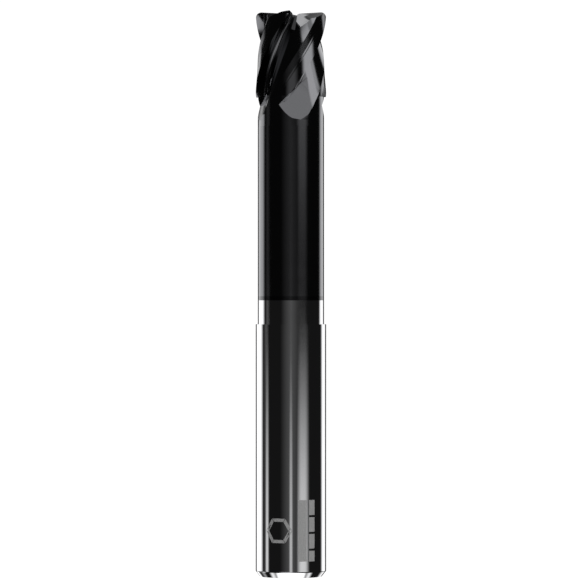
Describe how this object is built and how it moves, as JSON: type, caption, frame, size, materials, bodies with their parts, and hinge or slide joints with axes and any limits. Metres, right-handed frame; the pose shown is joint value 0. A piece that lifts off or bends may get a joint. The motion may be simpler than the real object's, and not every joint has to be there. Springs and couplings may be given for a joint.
{
  "type": "end mill",
  "caption": "Long-reach carbide end mill: helical fluted head with corner radii and a dark coating, relieved neck, plain polished shank.",
  "frame": {"origin": "centre of the shank's rear end face", "axes": "+Z along the tool axis from the shank's rear face to the cutting tip; +Y away from the front"},
  "size_m": [0.0126, 0.0126, 0.1016],
  "materials": {
    "coated_carbide": "dark hard coating, satin gloss",
    "polished_carbide": "fine ground and polished"
  },
  "bodies": {
    "root": {"cutting_head": "coated_carbide", "coated_neck": "coated_carbide", "bare_neck_band": "polished_carbide", "shank": "polished_carbide"}
  },
  "joints": []
}
